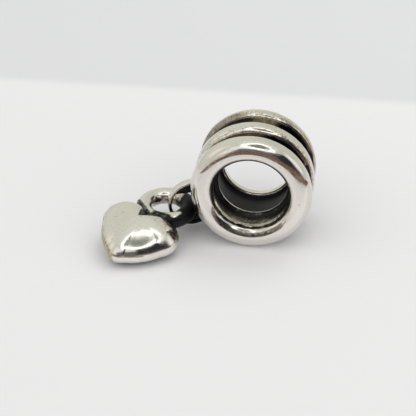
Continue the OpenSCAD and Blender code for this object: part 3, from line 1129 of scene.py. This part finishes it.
def silver_colour(tree, layer, pit, rings):
    """Clean, filmed or blackened, by the masks of tarnish and painted shade."""
    filmed = mixed(tree, layer.outputs["Rim"], SILVER, FILM_AND_REFLECTION_BROWN)
    crests = map_range(tree, rings.outputs["Height"], BROWN_FROM, BROWN_FULL)
    black = mixed(tree, crests, TARNISH_AND_SHADE_BLACK, TURNED_BROWN)
    deep = math_node(tree, "MAXIMUM", layer.outputs["Mask"], pit.outputs["Mask"])
    return mixed(tree, deep, filmed, black)


print("colours of the silver:", len((SILVER, FILM_AND_REFLECTION_BROWN, TARNISH_AND_SHADE_BLACK, TURNED_BROWN)))

# %% [markdown]
# A cloth never polishes evenly, so a soft noise makes the silver a little smoother here and a
# little rougher there. Dark areas are rougher still, and reflect less sharply. Everything that
# is too fine for the mesh goes into one bump: dents and turning lines stand out, scratches and
# pits are sunk.

# %% Roughness and relief of the silver
UNEVEN_SCALE = 1.6
DARK_ROUGHER = 0.3
PIT_DEPTH = 3.0
RELIEF = 0.01 * MM


def silver_roughness(tree, layer, polish):
    """Cloudy round the mean that is given, and rougher in the dark."""
    cloudy = add(tree, "ShaderNodeTexNoise", {"Scale": UNEVEN_SCALE, "Detail": 3.0})
    tree.links.new(stretched_place(tree, (1, 1, 1)), cloudy.inputs["Vector"])
    base = map_range(tree, cloudy.outputs["Fac"], 0.3, 0.7, polish * 0.7, polish * 1.35)
    rougher = math_node(tree, "MULTIPLY", layer.outputs["Mask"], DARK_ROUGHER)
    return math_node(tree, "ADD", base, rougher)


def silver_relief(tree, scratch, pit, skin, rings):
    """The normal of a surface with all of its fine marks."""
    deep_pit = math_node(tree, "MULTIPLY", pit.outputs["Mask"], PIT_DEPTH)
    sunk = math_node(tree, "ADD", scratch.outputs["Height"], deep_pit)
    raised = math_node(tree, "ADD", skin.outputs["Height"], rings.outputs["Height"])
    bump = add(tree, "ShaderNodeBump", {"Strength": 0.35, "Distance": RELIEF})
    tree.links.new(math_node(tree, "SUBTRACT", raised, sunk), bump.inputs["Height"])
    return bump.outputs["Normal"]


print("relief of the bump, mm:", round(RELIEF / MM, 3))

# %% [markdown]
# The bead and the heart were polished differently: the bead is smoother and has dents, the
# heart has a finer grain. So each gets its own silver, with the same groups and other numbers.

# %% Make the silver
RING_DEPTH = 4.0
BREAK_UP = 0.5


def silver_material(name, polish, scratch_amount, pit_share, dents, grain):
    """One silver. Polish is its mean roughness, and the other numbers go to the groups."""
    material = bpy.data.materials.new(name)
    material.use_nodes = True
    tree = material.node_tree
    shader = tree.nodes["Principled BSDF"]
    shader.inputs["Metallic"].default_value = 1.0
    layer = add(tree, "ShaderNodeGroup", {"Break Up": BREAK_UP}, node_tree=tarnish_and_shade)
    for mask_name, socket_name in (("dark", "Dark"), ("film", "Film")):
        stored = add(tree, "ShaderNodeAttribute", attribute_name=mask_name)
        tree.links.new(stored.outputs["Fac"], layer.inputs[socket_name])
    scratch = add(tree, "ShaderNodeGroup", {"Amount": scratch_amount}, node_tree=scratches)
    pit = add(tree, "ShaderNodeGroup", {"Share": pit_share}, node_tree=pits)
    skin = add(tree, "ShaderNodeGroup", {"Dents": dents, "Grain": grain}, node_tree=skin_group)
    rings = add(tree, "ShaderNodeGroup", node_tree=turning)
    turned = add(tree, "ShaderNodeAttribute", attribute_name="turned")
    ring_depth = math_node(tree, "MULTIPLY", turned.outputs["Fac"], RING_DEPTH)
    tree.links.new(ring_depth, rings.inputs["Amount"])
    tree.links.new(silver_colour(tree, layer, pit, rings), shader.inputs["Base Color"])
    tree.links.new(silver_roughness(tree, layer, polish), shader.inputs["Roughness"])
    tree.links.new(silver_relief(tree, scratch, pit, skin, rings), shader.inputs["Normal"])
    return material


bead_silver = silver_material(
    "bead silver", polish=0.11, scratch_amount=0.35, pit_share=0.10, dents=0.8, grain=0.3
)
heart_silver = silver_material(
    "heart silver", polish=0.15, scratch_amount=0.15, pit_share=0.20, dents=0.35, grain=0.5
)
bead_pieces = (barrel, eye, upper_solder, lower_solder)
heart_pieces = (heart, loop, left_fillet, right_fillet)
for piece in bead_pieces:
    piece.data.materials.append(bead_silver)
for piece in heart_pieces:
    piece.data.materials.append(heart_silver)
print("nodes in each silver:", len(bead_silver.node_tree.nodes))

# %% [markdown]
# Every piece rides on the charm's only body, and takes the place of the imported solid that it
# dresses. The barrel, the eye and its solder are one solid there, and so are the heart, its
# loop and the fillets.

# %% Fasten the pieces to the model
for piece in bead_pieces:
    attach(piece, "root")
    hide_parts("bead")
for piece in heart_pieces:
    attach(piece, "root")
    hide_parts("heart")
print("pieces:", len(bead_pieces) + len(heart_pieces))

# %% [markdown]
# ## Floor and light
# What a mirror-bright metal looks like is mostly what stands round it, so the studio is built
# for the reflections: a floor of paper, a pale room, a ring lamp overhead, and a brown table
# beyond the paper. The floor itself is plain and nearly white.

# %% Lay the floor
FLOOR_HALF = 900

floor_corners = FLOOR_HALF * np.array([(-1, -1, 0), (1, -1, 0), (1, 1, 0), (-1, 1, 0)])
floor = new_object("floor", floor_corners, [(0, 1, 2, 3)])
print("floor, mm:", 2 * FLOOR_HALF, "square")

# %% [markdown]
# The paper turns a touch greyer well behind the charm. The strip just in front of the charm
# glows a little, but only where the metal mirrors it, which keeps the lower rims as bright as
# they look in a hand. A Light Path node tells mirror rays from the camera's.

# %% Make the paper
FAR_EDGE = 22.0
FAR_SOFT = 0.8
MIRROR_LIFT = 0.12
GLOW_FROM = 10.2
GLOW_FULL = 7.2
GLOW_FADE = 4.2
GLOW_END = 3.2
PAPER_NEAR = (0.80, 0.80, 0.80, 1)
PAPER_FAR = (0.705, 0.712, 0.71, 1)

paper = bpy.data.materials.new("paper")
paper.use_nodes = True
tree = paper.node_tree
shader = tree.nodes["Principled BSDF"]
shader.inputs["Roughness"].default_value = 0.75
shader.inputs["Specular IOR Level"].default_value = 0.2
place = add(tree, "ShaderNodeTexCoord")
axes = add(tree, "ShaderNodeSeparateXYZ")
tree.links.new(place.outputs["Object"], axes.inputs["Vector"])
across_floor = axes.outputs["Y"]
far = map_range(tree, across_floor, (FAR_EDGE - FAR_SOFT) * MM, (FAR_EDGE + FAR_SOFT) * MM)
tree.links.new(mixed(tree, far, PAPER_NEAR, PAPER_FAR), shader.inputs["Base Color"])
ray = add(tree, "ShaderNodeLightPath")
glow_starts = ((BORE.y - GLOW_FROM) * MM, (BORE.y - GLOW_FULL) * MM)
glow_ends = ((BORE.y - GLOW_FADE) * MM, (BORE.y - GLOW_END) * MM)
from_front = map_range(tree, across_floor, *glow_starts)
up_to_bead = map_range(tree, across_floor, *glow_ends, 1.0, 0.0)
close_by = math_node(tree, "MULTIPLY", from_front, up_to_bead)
mirrored = math_node(tree, "MULTIPLY", close_by, ray.outputs["Is Glossy Ray"])
shader.inputs["Emission Color"].default_value = (1.0, 1.0, 0.97, 1)
lift = math_node(tree, "MULTIPLY", mirrored, MIRROR_LIFT)
tree.links.new(lift, shader.inputs["Emission Strength"])
floor.data.materials.append(paper)
print("nodes in the paper:", len(tree.nodes))

# %% [markdown]
# The room is painted on the sky as soft rectangles of azimuth and elevation, seen from the
# charm. A picture of a real room would serve as well, but here each patch is one row of
# numbers that can be changed alone. First come the two angles, and a soft band between two
# values of one of them.

# %% Measure angles in the room
world = bpy.data.worlds.new("room")
scene.world = world
world.use_nodes = True
room_tree = world.node_tree
background = room_tree.nodes["Background"]
aim = add(room_tree, "ShaderNodeTexCoord")
aim_axes = add(room_tree, "ShaderNodeSeparateXYZ")
room_tree.links.new(aim.outputs["Generated"], aim_axes.inputs["Vector"])
forward = math_node(room_tree, "MULTIPLY", aim_axes.outputs["Y"], -1.0)
azimuth_socket = math_node(room_tree, "ARCTAN2", aim_axes.outputs["X"], forward)
elevation_socket = math_node(room_tree, "ARCSINE", aim_axes.outputs["Z"])


def between(value, low, high, soft):
    """1 from low to high in degrees, with soft edges."""
    rise = map_range(room_tree, value, math.radians(low - soft), math.radians(low + soft))
    fall = map_range(room_tree, value, math.radians(high - soft), math.radians(high + soft), 1.0, 0.0)
    return math_node(room_tree, "MULTIPLY", rise, fall)


print("nodes that give the angles:", len(room_tree.nodes))

# %% [markdown]
# The patches are windows, a brown band low in front, a blue one above it and something dark to
# the right. Each is mixed over the ones before it.

# %% Paint the room
WALL = (0.66, 0.69, 0.61)
ROOM = (
    # name, azimuth from, to, elevation from, to, softness, colour
    ("overhead", -200, 200, 62, 120, 14.0, (0.80, 0.83, 0.75)),
    ("left wall", -175, -60, 12, 60, 14.0, (0.75, 0.78, 0.69)),
    ("golden window", -98, -72, 20, 46, 5.0, (1.02, 0.96, 0.84)),
    ("brown left", -43, -20, -30, 0, 3.0, (0.150, 0.105, 0.090)),
    ("brown band", -24, 80, -30, 13, 3.5, (0.160, 0.105, 0.095)),
    ("blue band", -26, 24, 13, 29, 3.5, (0.125, 0.14, 0.18)),
    ("dark shape", 19, 70, 9, 45, 4.0, (0.030, 0.031, 0.040)),
    ("left window", -46, -24, 17, 52, 4.0, (1.02, 1.02, 0.98)),
    ("under the lamp", -30, 20, 35, 50, 3.5, (1.0, 1.0, 0.96)),
    ("right window", 80, 104, 7, 43, 4.0, (1.05, 1.05, 1.03)),
)
colour = (*WALL, 1)
for name, az_from, az_to, el_from, el_to, soft, paint in ROOM:
    across = between(azimuth_socket, az_from, az_to, soft)
    upwards = between(elevation_socket, el_from, el_to, soft)
    patch = math_node(room_tree, "MULTIPLY", across, upwards)
    colour = mixed(room_tree, patch, colour, (*paint, 1))
    colour.node.label = name
print("patches in the room:", len(ROOM))

# %% [markdown]
# The patches would spill their colours on the paper. So wherever the light comes by way of a
# matt surface, which the Light Path node tells by its diffuse depth, the sky is an even grey
# instead, brighter in front than behind.

# %% Light the paper evenly
FRONT_LIGHT = 1.35
REAR_LIGHT = 0.5

path = add(room_tree, "ShaderNodeLightPath")
scattered = math_node(room_tree, "MINIMUM", path.outputs["Diffuse Depth"], 1.0)
even_light = map_range(room_tree, forward, -0.8, 0.8, REAR_LIGHT, FRONT_LIGHT)
lit = mixed(room_tree, scattered, colour, even_light)
room_tree.links.new(lit, background.inputs["Color"])
print("nodes in the room:", len(room_tree.nodes))

# %% [markdown]
# A card is one flat face that glows evenly. It is hidden from the camera and casts no shadow;
# only the metal sees it. `direction` turns an azimuth, counted from the front towards the
# right, and an elevation into a vector, so a card can be placed by where the metal sees it.

# %% Card helpers
def direction(azimuth, elevation):
    """A unit vector towards that place in the room."""
    a = math.radians(azimuth)
    e = math.radians(elevation)
    return Vector((math.sin(a) * math.cos(e), -math.cos(a) * math.cos(e), math.sin(e)))


def glow(name, colour, strength):
    """A material that gives light and mirrors nothing."""
    material = bpy.data.materials.new(name)
    material.use_nodes = True
    tree = material.node_tree
    tree.nodes.remove(tree.nodes["Principled BSDF"])
    emission = add(tree, "ShaderNodeEmission", {"Color": (*colour, 1), "Strength": strength})
    tree.links.new(emission.outputs[0], tree.nodes["Material Output"].inputs["Surface"])
    return material


def reflector(piece, material):
    """Only the metal sees it."""
    piece.data.materials.append(material)
    piece.visible_camera = False
    piece.visible_diffuse = False
    piece.visible_shadow = False


print("30 degrees up in front:", [round(v, 2) for v in direction(0, 30)])

# %% [markdown]
# The white oval on the heart is the mirror image of a ring lamp overhead, with a darker middle
# where the ceiling shows through it.

# %% Hang the ring lamp
LAMP_AWAY = 52
LAMP_INNER = 13.6
LAMP_OUTER = 24.0
LAMP_SIDES = 72
MIDDLE_SIDES = 48

lamp_towards = direction(14, 62)
lamp_turn = np.array(lamp_towards.to_track_quat("Z", "Y").to_matrix())


def at_lamp(flat):
    """Points of a flat drawing, hung where the lamp is."""
    standing = np.column_stack((flat, np.zeros(len(flat)))) @ lamp_turn.T
    return standing + np.array(BORE + lamp_towards * LAMP_AWAY)


inner_edge = arc((0, 0), LAMP_INNER, 0, 360, LAMP_SIDES)[:-1]
outer_edge = arc((0, 0), LAMP_OUTER, 0, 360, LAMP_SIDES)[:-1]
lamp_points = at_lamp(np.vstack((inner_edge, outer_edge)))
lamp = new_object("ring_lamp", lamp_points, grid_faces(2, LAMP_SIDES))
reflector(lamp, glow("lamp glow", (1.0, 1.0, 0.98), 1.8))

disc = at_lamp(arc((0, 0), LAMP_INNER, 0, 360, MIDDLE_SIDES)[:-1])
middle_card = new_object("lamp_middle", disc, [tuple(range(MIDDLE_SIDES))])
reflector(middle_card, glow("lamp middle", (0.25, 0.28, 0.23), 1.0))
print("lamp, mm above the floor:", round(float(lamp_points[:, 2].mean())))

# %% [markdown]
# One soft lamp behind and above the charm throws the shadow forwards. The metal doesn't mirror
# it, because no such lamp shows in the reflections.

# %% Light the paper from above
KEY_AWAY = 160
KEY_SIZE = 110
KEY_POWER = 0.045

key_towards = direction(146, 62)
key_data = bpy.data.lights.new("key", "AREA")
key_data.shape = "DISK"
key_data.size = KEY_SIZE * MM
key_data.energy = KEY_POWER
key = bpy.data.objects.new("key", key_data)
key.location = (BORE + key_towards * KEY_AWAY) * MM
key.rotation_euler = key_towards.to_track_quat("Z", "Y").to_euler()
key.visible_glossy = False
scene.collection.objects.link(key)
print("key lamp, mm:", [round(v / MM) for v in key.location])

# %% [markdown]
# Low in the room, the metal sees where the paper ends and a brown table begins. Two flat faces
# stand for the table, a hair above the floor, and leave the corner free where the paper lies.

# %% Lay the table beyond the paper
PAPER_FRONT = 22
PAPER_RIGHT = 27
PAPER_BACK = 8
TABLE_REACH = 500
TABLE_LEFT_NEAR = -40
TABLE_LEFT_FAR = -400
TABLE_LIFT = 0.02

table_corners = np.array([
    (TABLE_LEFT_FAR, -TABLE_REACH),
    (TABLE_REACH, -TABLE_REACH),
    (TABLE_REACH, -PAPER_FRONT),
    (TABLE_LEFT_NEAR, -PAPER_FRONT),
    (PAPER_RIGHT, -PAPER_FRONT),
    (TABLE_REACH, PAPER_BACK),
    (PAPER_RIGHT, PAPER_BACK),
])
table_height = np.full(len(table_corners), TABLE_LIFT)
table_points = np.column_stack((table_corners + np.array(BORE)[:2], table_height))
table = new_object("table", table_points, [(0, 1, 2, 4, 3), (4, 2, 5, 6)])
reflector(table, glow("table", (0.20, 0.125, 0.085), 1.0))
print("paper in front of the bore, mm:", PAPER_FRONT)

# %% [markdown]
# A film curve would make the picture softer and greyer than the paper and the silver are. So
# it is shown as it is measured, with the plain curve of a screen.

# %% Choose the picture's tone
scene.view_settings.view_transform = "Standard"
scene.view_settings.look = "None"
scene.view_settings.exposure = 0.0
print("the picture's curve:", scene.view_settings.view_transform)
